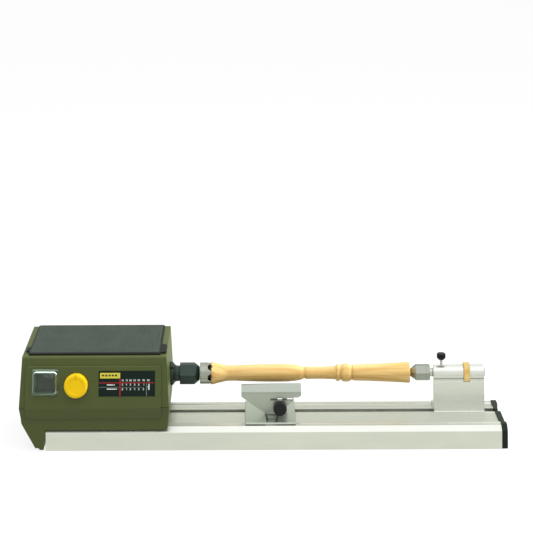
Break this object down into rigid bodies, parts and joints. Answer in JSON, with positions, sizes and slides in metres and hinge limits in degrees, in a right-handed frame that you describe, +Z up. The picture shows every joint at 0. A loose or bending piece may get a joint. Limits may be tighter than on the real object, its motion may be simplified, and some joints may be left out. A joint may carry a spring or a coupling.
{
  "type": "wood lathe",
  "caption": "Small modelmaker's wood lathe: moulded motor headstock with collet spindle, extruded slotted bed, adjustable tool rest and sliding tailstock with revolving centre.",
  "frame": {"origin": "bench plane, under the spindle axis, mid-way along the bed", "axes": "+X along the bed from headstock to tailstock, +Z up, operator on the -Y side"},
  "size_m": [0.5261, 0.1601, 0.1024],
  "materials": {
    "anodised_aluminium": "satin anodised extrusion",
    "satin_aluminium": "satin die-cast and milled",
    "cast_aluminium": "as cast",
    "polished_steel": "polished",
    "bearing_steel": "ground",
    "zinc_steel": "zinc plated",
    "black_oxide_steel": "black oxide",
    "brass": "knurled, bright",
    "motor_paint": "satin black",
    "olive_plastic": "fine texture",
    "black_plastic": "moulded",
    "label_black": "printed plate",
    "clear_plastic": "clear splash cover",
    "yellow_plastic": "moulded",
    "tray_rubber": "ribbed mat",
    "belt_rubber": "belt",
    "black_rubber": "cord sheath",
    "circuit_board": "board with parts",
    "turned_wood": "turned, fine grain"
  },
  "bodies": {
    "bed_frame": {"bed_extrusion": "anodised_aluminium", "bed_end_cap": "black_plastic", "end_cap_screws": "zinc_steel", "housing_lower_shell": "olive_plastic", "housing_upper_shell": "olive_plastic", "housing_screws": "zinc_steel", "headstock_mount_screws": "zinc_steel", "front_control_panel": "olive_plastic", "label_plate": "label_black", "tool_tray_mat": "tray_rubber", "switch_body": "black_plastic", "switch_pivot_pin": "zinc_steel", "switch_splash_cover": "clear_plastic", "speed_potentiometer": "black_plastic", "control_board": "circuit_board", "board_screws": "zinc_steel", "motor_bracket": "zinc_steel", "motor_body": "motor_paint", "motor_screws": "zinc_steel", "drive_belt": "belt_rubber", "bearing_block": "cast_aluminium", "bearing_block_screws": "zinc_steel", "front_bearing": "bearing_steel", "rear_bearing": "bearing_steel", "cord_strain_relief": "black_rubber", "power_cord": "black_rubber"},
    "spindle": {"spindle_shaft": "black_oxide_steel", "spindle_pulley": "cast_aluminium", "collet": "polished_steel", "collet_nut": "black_oxide_steel", "drive_centre": "polished_steel", "workpiece_spindle": "turned_wood"},
    "motor_rotor": {"motor_shaft": "polished_steel", "motor_pulley": "cast_aluminium"},
    "speed_control": {"speed_knob": "yellow_plastic"},
    "switch_button": {"switch_rocker": "black_plastic"},
    "rest_carriage": {"rest_base_plate": "satin_aluminium", "rest_t_nut": "zinc_steel", "rest_clamp_bolt": "zinc_steel", "rest_clamp_washer": "zinc_steel"},
    "rest_slide": {"rest_cross_slide": "satin_aluminium"},
    "rest_head": {"tool_rest_blade": "satin_aluminium", "rest_clamp_nut": "zinc_steel"},
    "rest_knob": {"rest_clamp_knob": "black_plastic"},
    "tailstock": {"tailstock_body": "anodised_aluminium", "tailstock_clamp_screws": "zinc_steel", "tailstock_t_nut": "zinc_steel"},
    "quill": {"tailstock_quill": "polished_steel", "live_centre_arbor": "polished_steel", "live_centre_bearing": "bearing_steel"},
    "live_centre": {"live_centre_point": "polished_steel"},
    "feed_nut": {"quill_adjusting_nut": "brass"},
    "lock_screw": {"quill_lock_screw": "zinc_steel", "quill_lock_knob": "black_plastic"}
  },
  "joints": [
    {"name": "spindle_spin", "type": "hinge", "parent": "bed_frame", "child": "spindle", "pos_m": [0, 0, 0.063], "axis": [1, 0, 0], "continuous": true},
    {"name": "motor_spin", "type": "hinge", "parent": "bed_frame", "child": "motor_rotor", "pos_m": [-0.15, 0.0345, 0.0475], "axis": [1, 0, 0], "continuous": true},
    {"name": "speed_knob_turn", "type": "hinge", "parent": "bed_frame", "child": "speed_control", "pos_m": [-0.2125, -0.0646, 0.0712], "axis": [0, -0.9911, 0.1329], "range_deg": [-135, 135]},
    {"name": "switch_rock", "type": "hinge", "parent": "bed_frame", "child": "switch_button", "pos_m": [-0.2461, -0.0563, 0.07294], "axis": [1, 0, 0], "range_deg": [-12, 0]},
    {"name": "rest_travel", "type": "slide", "parent": "bed_frame", "child": "rest_carriage", "axis": [1, 0, 0], "range_m": [-0.077, 0.148]},
    {"name": "rest_cross_travel", "type": "slide", "parent": "rest_carriage", "child": "rest_slide", "axis": [0, 1, 0], "range_m": [-0.008, 0.004]},
    {"name": "rest_height", "type": "slide", "parent": "rest_slide", "child": "rest_head", "axis": [0, 0, 1], "range_m": [-0.0003, 0.008]},
    {"name": "rest_knob_turn", "type": "hinge", "parent": "rest_head", "child": "rest_knob", "pos_m": [0.007, -0.037, 0.0358], "axis": [0, -1, 0], "range_deg": [0, 360]},
    {"name": "tailstock_travel", "type": "slide", "parent": "bed_frame", "child": "tailstock", "axis": [1, 0, 0], "range_m": [0, 0.011]},
    {"name": "feed_nut_turn", "type": "hinge", "parent": "tailstock", "child": "feed_nut", "pos_m": [0.2155, 0, 0.063], "axis": [1, 0, 0], "range_deg": [0, 1445]},
    {"name": "quill_feed", "type": "slide", "parent": "tailstock", "child": "quill", "axis": [1, 0, 0], "range_m": [0, 0.004]},
    {"name": "live_centre_spin", "type": "hinge", "parent": "quill", "child": "live_centre", "pos_m": [0.163, 0, 0.063], "axis": [1, 0, 0], "continuous": true},
    {"name": "lock_screw_turn", "type": "hinge", "parent": "tailstock", "child": "lock_screw", "pos_m": [0.187, 0, 0.08], "axis": [0, 0, 1], "range_deg": [0, 360]}
  ],
  "couplings": [
    {"joint": "motor_spin", "follows": "spindle_spin", "ratio": 1.8974},
    {"joint": "live_centre_spin", "follows": "spindle_spin", "ratio": 1},
    {"joint": "feed_nut_turn", "follows": "quill_feed", "rad_per_m": 6283.2}
  ]
}
